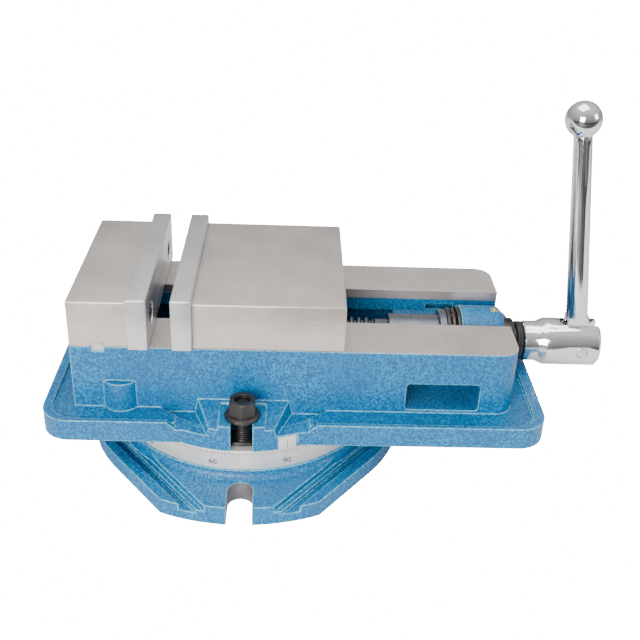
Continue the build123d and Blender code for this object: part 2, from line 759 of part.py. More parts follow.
with BuildPart() as lever_pin:
    pin_half = (hub_head_radius**2 - pin_radius**2) ** 0.5
    with BuildSketch(Plane.XZ.offset(-pin_half)):
        with Locations((pin_x, screw_z)):
            Circle(pin_radius)
    extrude(amount=2 * pin_half)
    chamfer(lever_pin.edges().filter_by(GeomType.CIRCLE), 0.6)
save(lever_pin, "lever_pin")

# the lever's own upright: local Z runs from the pin's axis to the knob
lean = radians(lever_lean)
across = (cos(lean), 0, sin(lean))
lever_plane = Plane(origin=(pin_x, 0, screw_z), x_dir=across, z_dir=(-sin(lean), 0, cos(lean)))
eye_plane = Plane(origin=(pin_x, -eye_thk / 2, screw_z), x_dir=across, z_dir=(0, 1, 0))
with BuildPart() as crank_lever:
    with BuildSketch(eye_plane):
        Circle(eye_radius)
        with Locations((0, -lever_start / 2)):
            Rectangle(2 * lever_radius_low, lever_start)
    extrude(amount=eye_thk)
    with BuildSketch(lever_plane.offset(lever_start)):
        Circle(lever_radius_low)
    with BuildSketch(lever_plane.offset(lever_end)):
        Circle(lever_radius_high)
    loft()
    with BuildSketch(lever_plane.offset(lever_end)):
        Circle(ball_tenon_radius)
    extrude(amount=ball_tenon_length)
    with BuildSketch(eye_plane.offset(-1)):
        Circle(pin_radius + running_gap)
    extrude(amount=eye_thk + 2, mode=Mode.SUBTRACT)
save(crank_lever, "crank_lever")

with BuildPart(lever_plane.offset(ball_knob_reach)) as lever_ball:
    Sphere(ball_knob_radius)
    with BuildSketch(lever_plane.offset(lever_end)):
        Circle(2 * ball_knob_radius)
    extrude(amount=-ball_knob_radius, mode=Mode.SUBTRACT)
    with BuildSketch(lever_plane.offset(lever_end)):
        Circle(ball_tenon_radius)
    extrude(amount=ball_tenon_length, mode=Mode.SUBTRACT)
save(lever_ball, "lever_ball")


# --- swivel clamps ---
def t_bolt(side):
    """A T-bolt whose square neck rides in the ring slot and in the body's clamp slot."""
    with BuildPart() as bolt:
        y = side * clamp_reach
        head_top = t_slot_ceiling_z - seat_gap
        half = t_head_width / 2
        half_neck = neck_width / 2
        neck_top = base_height + neck_rise
        block(-half, half, y - half, y + half, head_top - t_head_thk, head_top)
        block(-half_neck, half_neck, y - half_neck, y + half_neck, head_top, neck_top)
        disc_z(0, y, stud_radius, neck_top, boss_land_z + nut_height - stud_below_nut_top)
    return bolt


def clamp_nut(side):
    """A flanged hexagon nut on a T-bolt."""
    with BuildPart() as nut:
        y = side * clamp_reach
        seat = boss_land_z + seat_gap
        with BuildSketch(Plane.XY.offset(seat)) as hexagon:
            with Locations((0, y)):
                RegularPolygon(nut_across_flats / 2, 6, rotation=30, major_radius=False)
        extrude(hexagon.sketch, amount=nut_height)
        with Locations((0, y, seat)):
            # trims the corners of the hexagon's top at 30 degrees
            Cone(
                nut_across_flats / 2 + nut_height / tan(radians(30)),
                nut_across_flats / 2,
                nut_height,
                align=(Align.CENTER, Align.CENTER, Align.MIN),
                mode=Mode.INTERSECT,
            )
        with BuildPart(mode=Mode.PRIVATE) as flange:
            disc_z(0, y, nut_flange_radius, seat, seat + nut_flange_thk)
            chamfer(flange.faces().sort_by(Axis.Z)[-1].edges(), 1.6)
        add(flange.part)
        disc_z(0, y, stud_radius + hole_gap, seat, seat + nut_height, Mode.SUBTRACT)
    return nut


for name, side in (("front", -1), ("rear", 1)):
    save(t_bolt(side), f"{name}_t_bolt")
    save(clamp_nut(side), f"{name}_clamp_nut")
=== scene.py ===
import json
import math
import bpy
import bmesh
from mathutils import Matrix, Vector


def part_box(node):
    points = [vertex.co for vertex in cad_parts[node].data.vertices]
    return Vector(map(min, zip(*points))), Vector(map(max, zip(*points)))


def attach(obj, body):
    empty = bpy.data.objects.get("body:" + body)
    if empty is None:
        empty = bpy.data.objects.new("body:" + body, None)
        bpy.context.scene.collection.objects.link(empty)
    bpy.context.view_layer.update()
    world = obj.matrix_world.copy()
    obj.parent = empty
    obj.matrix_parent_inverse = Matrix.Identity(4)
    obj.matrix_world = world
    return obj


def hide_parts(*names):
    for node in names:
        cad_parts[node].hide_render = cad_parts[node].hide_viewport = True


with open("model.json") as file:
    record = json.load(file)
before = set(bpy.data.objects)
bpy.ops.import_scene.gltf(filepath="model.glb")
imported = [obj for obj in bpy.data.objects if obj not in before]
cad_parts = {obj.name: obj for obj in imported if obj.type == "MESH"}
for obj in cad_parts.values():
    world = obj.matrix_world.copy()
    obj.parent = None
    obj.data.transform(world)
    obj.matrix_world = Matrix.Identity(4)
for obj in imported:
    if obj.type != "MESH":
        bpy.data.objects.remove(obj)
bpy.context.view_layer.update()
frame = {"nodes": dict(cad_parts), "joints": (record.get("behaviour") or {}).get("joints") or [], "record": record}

bodyOf = {n: body for body, nodes in frame["record"]["behaviour"]["bodies"].items() for n in nodes}
jointAt = {j["name"]: Vector(j["pos_m"]) for j in frame["joints"] if "pos_m" in j}
mm = 0.001


# ---------- small helpers for node trees ----------
def addNode(tree, kind, values=None, **settings):
    node = tree.nodes.new(kind)
    for key, value in settings.items():
        setattr(node, key, value)
    for key, value in (values or {}).items():
        node.inputs[key].default_value = value
    return node


def mathNode(tree, operation, a, b=0.0, clamp=False):
    node = addNode(tree, "ShaderNodeMath", operation=operation, use_clamp=clamp)
    for index, item in enumerate((a, b)):
        if hasattr(item, "links"):
            tree.links.new(item, node.inputs[index])
        else:
            node.inputs[index].default_value = item
    return node.outputs[0]


def mixColour(tree, factor, a, b, blend="MIX"):
    node = addNode(tree, "ShaderNodeMix", data_type="RGBA", blend_type=blend, clamp_factor=True)
    for socket, item in ((node.inputs[0], factor), (node.inputs[6], a), (node.inputs[7], b)):
        if hasattr(item, "links"):
            tree.links.new(item, socket)
        else:
            socket.default_value = item
    return node.outputs[2]


def remap(tree, value, fromLow, fromHigh, toLow=0.0, toHigh=1.0):
    node = addNode(tree, "ShaderNodeMapRange", {1: fromLow, 2: fromHigh, 3: toLow, 4: toHigh})
    tree.links.new(value, node.inputs[0])
    return node.outputs[0]


def newGroup(name, inputs, outputs):
    group = bpy.data.node_groups.new(name, "ShaderNodeTree")
    for label, kind, value in inputs:
        socket = group.interface.new_socket(label, in_out="INPUT", socket_type=kind)
        if value is not None:
            socket.default_value = value
    for label, kind in outputs:
        group.interface.new_socket(label, in_out="OUTPUT", socket_type=kind)
    return group, group.nodes.new("NodeGroupInput"), group.nodes.new("NodeGroupOutput")


# where two faces meet at an outside edge: a mask for a lighter edge colour, a painted highlight of the light a
# rounded edge catches, and on metal partly worn edges too
def edgeWearGroup():
    group, source, sink = newGroup(
        "edgeWearAndHighlight",
        [
            ("Radius", "NodeSocketFloat", 0.001),
            ("Breakup", "NodeSocketFloat", 300.0),
            ("Amount", "NodeSocketFloat", 1.0),
        ],
        [("Mask", "NodeSocketFloat"), ("Normal", "NodeSocketVector")],
    )
    bevel = addNode(group, "ShaderNodeBevel", samples=6)
    group.links.new(source.outputs["Radius"], bevel.inputs["Radius"])
    geometry = addNode(group, "ShaderNodeNewGeometry")
    dot = addNode(group, "ShaderNodeVectorMath", operation="DOT_PRODUCT")
    group.links.new(bevel.outputs[0], dot.inputs[0])
    group.links.new(geometry.outputs["Normal"], dot.inputs[1])
    edge = remap(group, dot.outputs["Value"], 0.995, 0.86)
    place = addNode(group, "ShaderNodeTexCoord")
    noise = addNode(group, "ShaderNodeTexNoise", {"Detail": 3.0})
    group.links.new(place.outputs["Object"], noise.inputs["Vector"])
    group.links.new(source.outputs["Breakup"], noise.inputs["Scale"])
    broken = remap(group, noise.outputs["Fac"], 0.35, 0.62, 0.25, 1.0)
    # the edge mask broken up by noise: a painted highlight, and on metal partly wear as well
    worn = mathNode(group, "MULTIPLY", edge, broken)
    mask = mathNode(group, "MULTIPLY", worn, source.outputs["Amount"], True)
    group.links.new(mask, sink.inputs["Mask"])
    group.links.new(bevel.outputs[0], sink.inputs["Normal"])
    return group


# grinding and turning marks: fine noise drawn out along one direction, over a slow cloud
def grainGroup():
    group, source, sink = newGroup(
        "grain",
        [("Stretch", "NodeSocketVector", None), ("Cloud", "NodeSocketFloat", 18.0)],
        [("Lines", "NodeSocketFloat"), ("Cloud", "NodeSocketFloat")],
    )
    place = addNode(group, "ShaderNodeTexCoord")
    scaled = addNode(group, "ShaderNodeVectorMath", operation="MULTIPLY")
    group.links.new(place.outputs["Object"], scaled.inputs[0])
    group.links.new(source.outputs["Stretch"], scaled.inputs[1])
    fine = addNode(group, "ShaderNodeTexNoise", {"Scale": 1.0, "Detail": 4.0, "Roughness": 0.7})
    group.links.new(scaled.outputs[0], fine.inputs["Vector"])
    slow = addNode(group, "ShaderNodeTexNoise", {"Detail": 3.0})
    group.links.new(place.outputs["Object"], slow.inputs["Vector"])
    group.links.new(source.outputs["Cloud"], slow.inputs["Scale"])
    group.links.new(fine.outputs["Fac"], sink.inputs["Lines"])
    group.links.new(slow.outputs["Fac"], sink.inputs["Cloud"])
    return group


edgeWearAndHighlight = edgeWearGroup()
grain = grainGroup()


def startMaterial(name, **values):
    material = bpy.data.materials.new(name)
    material.use_nodes = True
    tree = material.node_tree
    shader = tree.nodes["Principled BSDF"]
    for key, value in values.items():
        shader.inputs[key].default_value = value
    return material, tree, shader


def placeGroup(tree, group, **values):
    node = addNode(tree, "ShaderNodeGroup", node_tree=group)
    for key, value in values.items():
        node.inputs[key].default_value = value
    return node


def addBump(tree, shader, height, distance, normal=None, strength=1.0):
    bump = addNode(tree, "ShaderNodeBump", {"Strength": strength, "Distance": distance})
    tree.links.new(height, bump.inputs["Height"])
    if normal is not None:
        tree.links.new(normal, bump.inputs["Normal"])
    tree.links.new(bump.outputs[0], shader.inputs["Normal"])


paintLook = {
    "deep": (0.0, 0.030, 0.115, 1),
    "middle": (0.0, 0.105, 0.29, 1),
    "light": (0.0, 0.30, 0.56, 1),
    # edge is a painted highlight: pale cyan where light catches the casting's rounded edges
    "edge": (0.30, 0.84, 0.94, 1),
    "cells": 560.0,
    "specks": 820.0,
}


# hammer finish: enamel that draws into small cells, darker between them, with a painted highlight in pale cyan
# along the edges
def hammerPaint():
    look = paintLook
    material, tree, shader = startMaterial("hammerPaint", Roughness=0.34, **{"Coat Weight": 0.06})
    shader.inputs["Coat Roughness"].default_value = 0.12
    place = addNode(tree, "ShaderNodeTexCoord")
    warp = addNode(tree, "ShaderNodeTexNoise", {"Scale": 260.0, "Detail": 2.0})
    cells = addNode(tree, "ShaderNodeTexVoronoi", {"Scale": look["cells"]}, feature="SMOOTH_F1")
    cells.inputs["Randomness"].default_value = 1.0
    cells.inputs["Smoothness"].default_value = 0.35
    specks = addNode(tree, "ShaderNodeTexNoise", {"Scale": look["specks"], "Detail": 3.0})
    cloud = addNode(tree, "ShaderNodeTexNoise", {"Scale": 22.0, "Detail": 3.0})
    shifted = addNode(tree, "ShaderNodeVectorMath", {1: (0.0018, 0.0018, 0.0018)}, operation="MULTIPLY_ADD")
    tree.links.new(warp.outputs["Color"], shifted.inputs[0])
    tree.links.new(place.outputs["Object"], shifted.inputs[2])
    tree.links.new(shifted.outputs[0], cells.inputs["Vector"])
    for node in (warp, specks, cloud):
        tree.links.new(place.outputs["Object"], node.inputs["Vector"])
    cellMask = remap(tree, cells.outputs["Distance"], 0.18, 0.62)
    speckMask = remap(tree, specks.outputs["Fac"], 0.56, 0.68)
    patch = remap(tree, cloud.outputs["Fac"], 0.38, 0.64)
    base = mixColour(tree, cellMask, look["light"], look["middle"])
    base = mixColour(tree, mathNode(tree, "MULTIPLY", patch, 0.45), base, look["middle"])
    base = mixColour(tree, mathNode(tree, "MULTIPLY", speckMask, 0.75), base, look["deep"])
    # painted highlight: the edge mask mixes the pale cyan edge colour in along outside edges
    wearAndHighlight = placeGroup(tree, edgeWearAndHighlight, Radius=1.7 * mm, Breakup=420.0, Amount=1.0)
    base = mixColour(tree, wearAndHighlight.outputs["Mask"], base, look["edge"])
    tree.links.new(base, shader.inputs["Base Color"])
    tree.links.new(remap(tree, cells.outputs["Distance"], 0.1, 0.7, 0.30, 0.48), shader.inputs["Roughness"])
    height = mathNode(tree, "SUBTRACT", mathNode(tree, "MULTIPLY", specks.outputs["Fac"], 0.35), cellMask)
    addBump(tree, shader, height, 0.16 * mm, wearAndHighlight.outputs["Normal"], 0.55)
    return material


# ground and turned metals differ in colour, in the run of their marks and in their gloss
metalLooks = {
    "groundIron": dict(
        low=(0.60, 0.52, 0.46, 1), high=(0.86, 0.77, 0.70, 1),
        stretch=(90, 2600, 2600), rough=(0.30, 0.44), metal=0.85,
    ),
    "groundTop": dict(
        low=(0.55, 0.495, 0.465, 1), high=(0.77, 0.71, 0.675, 1),
        stretch=(2600, 80, 2600), rough=(0.32, 0.46), metal=0.85,
    ),
    "plateSteel": dict(
        low=(0.66, 0.65, 0.66, 1), high=(0.84, 0.83, 0.84, 1),
        stretch=(2400, 70, 2400), rough=(0.26, 0.38), metal=0.9,
    ),
    "ringSteel": dict(
        low=(0.76, 0.70, 0.66, 1), high=(0.93, 0.88, 0.84, 1),
        stretch=(120, 120, 4200), rough=(0.30, 0.42), metal=0.5,
    ),
    "screwSteel": dict(
        low=(0.07, 0.08, 0.10, 1), high=(0.20, 0.22, 0.25, 1),
        stretch=(3600, 240, 240), rough=(0.28, 0.42), metal=0.9,
    ),
    "bareCasting": dict(
        low=(0.16, 0.16, 0.17, 1), high=(0.30, 0.30, 0.32, 1),
        stretch=(700, 700, 700), rough=(0.42, 0.6), metal=0.75,
    ),
    "blackOxide": dict(
        low=(0.035, 0.032, 0.030, 1), high=(0.085, 0.080, 0.075, 1),
        stretch=(900, 900, 900), rough=(0.30, 0.46), metal=0.8,
    ),
    "brass": dict(
        low=(0.62, 0.45, 0.16, 1), high=(0.83, 0.66, 0.30, 1),
        stretch=(2200, 2200, 300), rough=(0.22, 0.34), metal=1.0,
    ),
    "bronze": dict(
        low=(0.36, 0.22, 0.09, 1), high=(0.52, 0.34, 0.16, 1),
        stretch=(3200, 300, 300), rough=(0.28, 0.4), metal=1.0,
    ),
    "darkBronze": dict(
        low=(0.05, 0.042, 0.035, 1), high=(0.13, 0.11, 0.09, 1),
        stretch=(2200, 300, 300), rough=(0.3, 0.44), metal=0.9,
    ),
    "chrome": dict(
        low=(0.76, 0.76, 0.775, 1), high=(0.88, 0.88, 0.89, 1),
        stretch=(140, 140, 500), rough=(0.04, 0.11), metal=1.0,
    ),
}


def metalMaterial(name):
    look = metalLooks[name]
    material, tree, shader = startMaterial(name, Metallic=look["metal"])
    marks = placeGroup(tree, grain, Stretch=look["stretch"], Cloud=26.0)
    line = remap(tree, marks.outputs["Lines"], 0.3, 0.7)
    cloud = remap(tree, marks.outputs["Cloud"], 0.3, 0.7)
    fine, slow = mathNode(tree, "MULTIPLY", line, 0.6), mathNode(tree, "MULTIPLY", cloud, 0.4)
    both = mathNode(tree, "ADD", fine, slow)
    # outside edges lighter: partly worn metal, partly a painted highlight
    wearAndHighlight = placeGroup(tree, edgeWearAndHighlight, Radius=0.35 * mm, Breakup=500.0, Amount=0.7)
    bright = tuple(min(1.0, channel * 1.35 + 0.05) for channel in look["high"][:3]) + (1,)
    base = mixColour(tree, wearAndHighlight.outputs["Mask"], mixColour(tree, both, look["low"], look["high"]), bright)
    tree.links.new(base, shader.inputs["Base Color"])
    tree.links.new(remap(tree, both, 0.0, 1.0, *look["rough"]), shader.inputs["Roughness"])
    addBump(tree, shader, line, 0.012 * mm, wearAndHighlight.outputs["Normal"], 0.35)
    return material


def rubberMaterial():
    material, tree, shader = startMaterial("stopRubber")
    marks = placeGroup(tree, grain, Stretch=(1500, 1500, 1500), Cloud=60.0)
    dust = remap(tree, marks.outputs["Lines"], 0.5, 0.75)
    share = mathNode(tree, "MULTIPLY", dust, 0.5)
    base = mixColour(tree, share, (0.010, 0.010, 0.011, 1), (0.05, 0.05, 0.052, 1))
    tree.links.new(base, shader.inputs["Base Color"])
    tree.links.new(remap(tree, marks.outputs["Cloud"], 0.3, 0.7, 0.42, 0.6), shader.inputs["Roughness"])
    addBump(tree, shader, marks.outputs["Lines"], 0.03 * mm, None, 0.4)
    return material


# dark filling of the engraved marks
def inkMaterial():
    material, tree, shader = startMaterial("engraving", Roughness=0.6)
    marks = placeGroup(tree, grain, Stretch=(2500, 2500, 2500), Cloud=120.0)
    worn = remap(tree, marks.outputs["Lines"], 0.35, 0.75)
    share = mathNode(tree, "MULTIPLY", worn, 0.6)
    base = mixColour(tree, share, (0.03, 0.028, 0.027, 1), (0.16, 0.15, 0.14, 1))
    tree.links.new(base, shader.inputs["Base Color"])
    return material


materials = {name: metalMaterial(name) for name in metalLooks}
materials["paint"] = hammerPaint()
materials["rubber"] = rubberMaterial()
materials["ink"] = inkMaterial()
print("materials made")


# ---------- meshes ----------
# choose gives a face's place in looks from its centre and normal
def finishPiece(name, mesh, body, looks, nodes=(), slotName=None, choose=None):
    mesh.materials.clear()
    for look in looks:
        mesh.materials.append(materials[look])
    if choose:
        for face in mesh.polygons:
            face.material_index = choose(face.center, face.normal)
    piece = bpy.data.objects.new(name, mesh)
    bpy.context.scene.collection.objects.link(piece)
    if nodes:
        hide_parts(*nodes)
    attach(piece, body)
    return piece


# a CAD node's own shape with its edges broken, smooth on its round faces
def brokenEdges(node, width, segments=2, sharpAngle=28.0):
    mesh = bpy.data.meshes.new(node + "Made")
    work = bmesh.new()
    work.from_mesh(frame["nodes"][node].data)
    bmesh.ops.remove_doubles(work, verts=work.verts, dist=0.002 * mm)
    bmesh.ops.dissolve_limit(work, angle_limit=math.radians(0.6), verts=work.verts, edges=work.edges)
    if width > 0:
        limit = math.radians(sharpAngle)
        sharp = [e for e in work.edges if len(e.link_faces) == 2 and e.calc_face_angle(0) > limit]
        bmesh.ops.bevel(
            work, geom=sharp, offset=width, segments=segments, profile=0.5, affect="EDGES", clamp_overlap=True
        )
    bmesh.ops.remove_doubles(work, verts=work.verts, dist=0.001 * mm)
    for face in work.faces:
        face.smooth = True
    for edge in work.edges:
        edge.smooth = not (len(edge.link_faces) == 2 and edge.calc_face_angle(0) > math.radians(34))
    work.to_mesh(mesh)
    work.free()
    return mesh


# ---------- castings ----------
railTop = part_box("fixed_jaw")[0].z - 0.05 * mm
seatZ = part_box("vise_body")[0].z
bodyCut = {"edge": 0.8 * mm, "groundBand": 8.3 * mm, "railHalf": 29.6 * mm, "landTop": 50.2 * mm}
indexAngle = 18.4


def bodyFace(centre, normal):
    reach = math.hypot(centre.x, centre.y)
    heading = math.degrees(math.atan2(centre.x, -centre.y))
    if centre.z > railTop - 0.3 * mm and normal.z > 0.7:
        return 1
    inBand = centre.z > railTop - bodyCut["groundBand"] and abs(centre.y) < bodyCut["railHalf"]
    if inBand and abs(normal.y) > 0.6 and centre.x < 0.21:
        return 1
    onLand = centre.z < bodyCut["landTop"] and abs(heading - indexAngle) < 3.95 and reach > 107.6 * mm
    if onLand and centre.z > seatZ:
        return 2
    return 0


bodyMesh = brokenEdges("vise_body", 0)
bodyLooks = ["paint", "groundTop", "ringSteel"]
finishPiece("bodyCasting", bodyMesh, "vise_body", bodyLooks, ["vise_body"], "blue_paint", bodyFace)

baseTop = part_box("swivel_base")[1].z
baseCut = {"ringLow": 23.2 * mm, "ringReach": 106.6 * mm, "slotHalf": 9.7 * mm, "slotFrom": 112 * mm}


def baseFace(centre, normal):
    reach = math.hypot(centre.x, centre.y)
    flat = abs(normal.z) < 0.5
    if centre.z > baseCut["ringLow"] and (reach > baseCut["ringReach"] or normal.z > 0.5):
        return 1
    inSlot = abs(centre.x) < baseCut["slotHalf"] and abs(centre.y) > baseCut["slotFrom"]
    if inSlot and flat and reach < 150 * mm:
        return 2
    return 0


baseMesh = brokenEdges("swivel_base", 0)
baseLooks = ["paint", "ringSteel", "bareCasting"]
finishPiece("baseCasting", baseMesh, "swivel_base", baseLooks, ["swivel_base"], "blue_paint", baseFace)
print("castings made")


# ---------- jaws ----------
def jawFace(centre, normal):
    return 1 if normal.z > 0.7 else 0


for node in ("fixed_jaw", "moving_jaw"):
    mesh = brokenEdges(node, 0.25 * mm)
    looks = ["groundIron", "groundTop"]
    finishPiece(node + "Ground", mesh, bodyOf[node], looks, [node], "ground_iron", jawFace)

# the small parts keep their CAD shape: (edge width in mm, material)
plainNodes = {
    "fixed_jaw_plate": (0.2, "plateSteel"),
    "moving_jaw_plate": (0.2, "plateSteel"),
    "fixed_jaw_plate_screws": (0.3, "blackOxide"),
    "moving_jaw_plate_screws": (0.3, "blackOxide"),
    "fixed_jaw_key": (0.15, "plateSteel"),
    "fixed_jaw_bolts": (0.3, "blackOxide"),
    "screw_bush": (0.3, "bronze"),
    "thrust_race_body": (0.4, "blackOxide"),
    "thrust_race_screw": (0.4, "blackOxide"),
    "thrust_cage": (0.2, "darkBronze"),
    "thrust_balls": (0, "plateSteel"),
    "oil_fitting": (0.25, "brass"),
    "oil_fitting_ball": (0, "plateSteel"),
    "jaw_nut": (0.5, "bareCasting"),
    "jaw_half_ball": (0.2, "plateSteel"),
    "nut_set_screw": (0.3, "blackOxide"),
    "lock_collar": (0.4, "blackOxide"),
    "lock_collar_screw": (0.1, "blackOxide"),
    "crank_stop_ring": (0.4, "rubber"),
    "crank_hub": (0.5, "chrome"),
    "lever_pin": (0.3, "plateSteel"),
    "lever_ball": (0, "chrome"),
}
slotOf = {part["node"]: part["material_slot"] for part in frame["record"]["subparts"]}
for node, (edge, look) in plainNodes.items():
    mesh = brokenEdges(node, edge * mm)
    finishPiece(node + "Finished", mesh, bodyOf[node], [look], [node], slotOf[node])
print("jaws and small parts made")


# ---------- turned and threaded parts ----------
# a tube of rings along an axis: rows is a list of (distance, radius function of angle)
def latheMesh(name, rows, place, sides):
    mesh = bpy.data.meshes.new(name)
    work = bmesh.new()
    rings = []
    for along, radiusAt in rows:
        ring = []
        for i in range(sides):
            angle = 2 * math.pi * i / sides
            radius = radiusAt(angle)
            spot = Vector((radius * math.cos(angle), radius * math.sin(angle), along))
            ring.append(work.verts.new(place @ spot))
        rings.append(ring)
    for low, high in zip(rings, rings[1:]):
        for i in range(sides):
            j = (i + 1) % sides
            work.faces.new((low[i], low[j], high[j], high[i]))
    for ring, distance in ((rings[0], rows[0][0]), (rings[-1], rows[-1][0])):
        hub = work.verts.new(place @ Vector((0, 0, distance)))
        for i in range(sides):
            work.faces.new((ring[i], ring[(i + 1) % sides], hub))
    bmesh.ops.recalc_face_normals(work, faces=work.faces)
    for face in work.faces:
        face.smooth = True
    for edge in work.edges:
        edge.smooth = not (len(edge.link_faces) == 2 and edge.calc_face_angle(0) > math.radians(40))
    work.to_mesh(mesh)
    work.free()
    return mesh


def plainRadius(radius):
    return lambda angle: radius


# radius of a thread: flat crest, sloped flanks, flat root; hand is 1 for right and -1 for left
def threadRadius(crest, depth, pitch, along, hand):
    def at(angle):
        phase = (along / pitch - hand * angle / (2 * math.pi)) % 1.0
        away = abs(phase - 0.5) * 2
        return crest - depth * min(1.0, max(0.0, (away - 0.3) / 0.35))
    return at


def threadRows(start, end, crest, depth, pitch, hand, steps):
    count = max(2, int((end - start) / pitch * steps))
    for i in range(count + 1):
        along = start + (end - start) * i / count
        fade = min(1.0, (along - start) / (0.6 * pitch), (end - along) / (0.6 * pitch))
        yield along, threadRadius(crest - depth * 0.9 * (1 - fade), depth * fade, pitch, along, hand)


screwLook = {
    "pitch": 6.0 * mm, "depth": 2.6 * mm, "crest": 16 * mm, "threadLeft": -52 * mm, "threadRight": 103 * mm,
    "stepsInMm": [(114, 15), (155, 19.7), (161, 24), (217, 15), (224.4, 12.5)],
    "hexFlats": 19 * mm, "hexRight": 252 * mm, "stepEdge": 0.5 * mm, "stepsPerTurn": 14, "sides": 72,
}


def hexRadius(flats):
    def at(angle):
        return flats / 2 / math.cos((angle + math.pi / 6) % (math.pi / 3) - math.pi / 6)
    return at


def makeLeadScrew():
    look = screwLook
    screwZ = jointAt["screw_turn"].z
    place = Matrix.Translation((0, 0, screwZ)) @ Matrix.Rotation(math.pi / 2, 4, "Y")
    ends = (look["threadLeft"], look["threadRight"])
    rows = list(threadRows(*ends, look["crest"], look["depth"], look["pitch"], -1, look["stepsPerTurn"]))
    left = look["threadRight"]
    edge = look["stepEdge"]
    for right, radius in look["stepsInMm"]:
        for along, shrink in ((left, edge), (left + edge, 0), (right * mm - edge, 0), (right * mm, edge)):
            rows.append((along, plainRadius(radius * mm - shrink)))
        left = right * mm
    rows += [(left, hexRadius(look["hexFlats"])), (look["hexRight"], hexRadius(look["hexFlats"]))]
    return latheMesh("leadScrewMade", rows, place, look["sides"])


finishPiece("leadScrewThreaded", makeLeadScrew(), "lead_screw", ["screwSteel"], ["lead_screw"], "screw_steel")

leverMesh = brokenEdges("crank_lever", 0.6 * mm)
finishPiece("crankLever", leverMesh, "crank_lever", ["chrome"], ["crank_lever"], "chrome")

boltLook = {
    "pitch": 1.75 * mm, "depth": 1.05 * mm, "crest": 6.0 * mm, "sides": 40, "stepsPerTurn": 10,
    "spigot": 11 * mm, "neckRise": 2.6 * mm, "point": 1.0 * mm, "pointShrink": 1.2 * mm,
}


# a T-bolt keeps its head and neck from CAD; its stud gets a rolled thread
def makeBolt(node):
    look = boltLook
    low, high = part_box(node)
    centre = (low + high) / 2
    neckTop = baseTop - look["spigot"] + look["neckRise"]
    head = brokenEdges(node, 0.5 * mm)
    work = bmesh.new()
    work.from_mesh(head)
    cut = neckTop + 0.5 * mm
    bmesh.ops.bisect_plane(
        work, geom=list(work.verts) + list(work.edges) + list(work.faces),
        plane_co=(0, 0, cut), plane_no=(0, 0, 1), clear_outer=True,
    )
    bmesh.ops.holes_fill(work, edges=work.edges)
    work.to_mesh(head)
    work.free()
    ends = (neckTop - 1 * mm, high.z - look["point"])
    rows = list(threadRows(*ends, look["crest"], look["depth"], look["pitch"], 1, look["stepsPerTurn"]))
    rows.append((high.z, plainRadius(look["crest"] - look["pointShrink"])))
    stud = latheMesh(node + "Stud", rows, Matrix.Translation((centre.x, centre.y, 0)), look["sides"])
    finishPiece(node + "Head", head, bodyOf[node], ["blackOxide"], [node], "black_oxide")
    finishPiece(node + "Thread", stud, bodyOf[node], ["blackOxide"], [], "black_oxide")


for node in ("front_t_bolt", "rear_t_bolt"):
    makeBolt(node)
for node in ("front_clamp_nut", "rear_clamp_nut"):
    mesh = brokenEdges(node, 0.7 * mm, 3)
    finishPiece(node + "Finished", mesh, bodyOf[node], ["blackOxide"], [node], "black_oxide")
print("turned parts made")


# ---------- graduations on the ring ----------
scaleLook = {
    "reach": 107.6 * mm, "top": 38.0 * mm, "short": 2.6 * mm, "middle": 3.6 * mm, "long": 4.6 * mm,
    "width": 0.32 * mm, "proud": 0.03 * mm, "textSize": 6.2 * mm, "textZ": 26.0 * mm,
}


# one tree makes a run of marks: count, first mark, spacing and size are its inputs
def markTree():
    tree = bpy.data.node_groups.new("ringMarks", "GeometryNodeTree")
    for label, kind in (
        ("Count", "NodeSocketInt"), ("Every", "NodeSocketFloat"), ("Reach", "NodeSocketFloat"),
        ("Top", "NodeSocketFloat"), ("Length", "NodeSocketFloat"), ("Width", "NodeSocketFloat"),
        ("Proud", "NodeSocketFloat"), ("Look", "NodeSocketMaterial"),
    ):
        tree.interface.new_socket(label, in_out="INPUT", socket_type=kind)
    tree.interface.new_socket("Geometry", in_out="OUTPUT", socket_type="NodeSocketGeometry")
    source, sink = tree.nodes.new("NodeGroupInput"), tree.nodes.new("NodeGroupOutput")
    link = tree.links.new
    line = addNode(tree, "GeometryNodeMeshLine", mode="OFFSET")
    link(source.outputs["Count"], line.inputs["Count"])
    line.inputs["Offset"].default_value = (0, 0, 0)
    index = addNode(tree, "GeometryNodeInputIndex")
    turn = mathNode(tree, "MULTIPLY", index.outputs[0], source.outputs["Every"])
    spin = addNode(tree, "ShaderNodeCombineXYZ")
    link(turn, spin.inputs["Z"])
    half = mathNode(tree, "MULTIPLY", source.outputs["Length"], 0.5)
    middle = mathNode(tree, "SUBTRACT", source.outputs["Top"], half)
    size = addNode(tree, "ShaderNodeCombineXYZ")
    link(mathNode(tree, "MULTIPLY", source.outputs["Proud"], 2.0), size.inputs["X"])
    link(source.outputs["Width"], size.inputs["Y"])
    link(source.outputs["Length"], size.inputs["Z"])
    mark = addNode(tree, "GeometryNodeMeshCube")
    link(size.outputs[0], mark.inputs["Size"])
    shift = addNode(tree, "ShaderNodeCombineXYZ")
    link(source.outputs["Reach"], shift.inputs["X"])
    link(middle, shift.inputs["Z"])
    move = addNode(tree, "GeometryNodeTransform")
    link(mark.outputs["Mesh"], move.inputs["Geometry"])
    link(shift.outputs[0], move.inputs["Translation"])
    scatter = addNode(tree, "GeometryNodeInstanceOnPoints")
    link(line.outputs["Mesh"], scatter.inputs["Points"])
    link(move.outputs[0], scatter.inputs["Instance"])
    link(spin.outputs[0], scatter.inputs["Rotation"])
    real = addNode(tree, "GeometryNodeRealizeInstances")
    link(scatter.outputs[0], real.inputs[0])
    coat = addNode(tree, "GeometryNodeSetMaterial")
    link(real.outputs[0], coat.inputs["Geometry"])
    link(source.outputs["Look"], coat.inputs["Material"])
    link(coat.outputs[0], sink.inputs["Geometry"])
    return tree


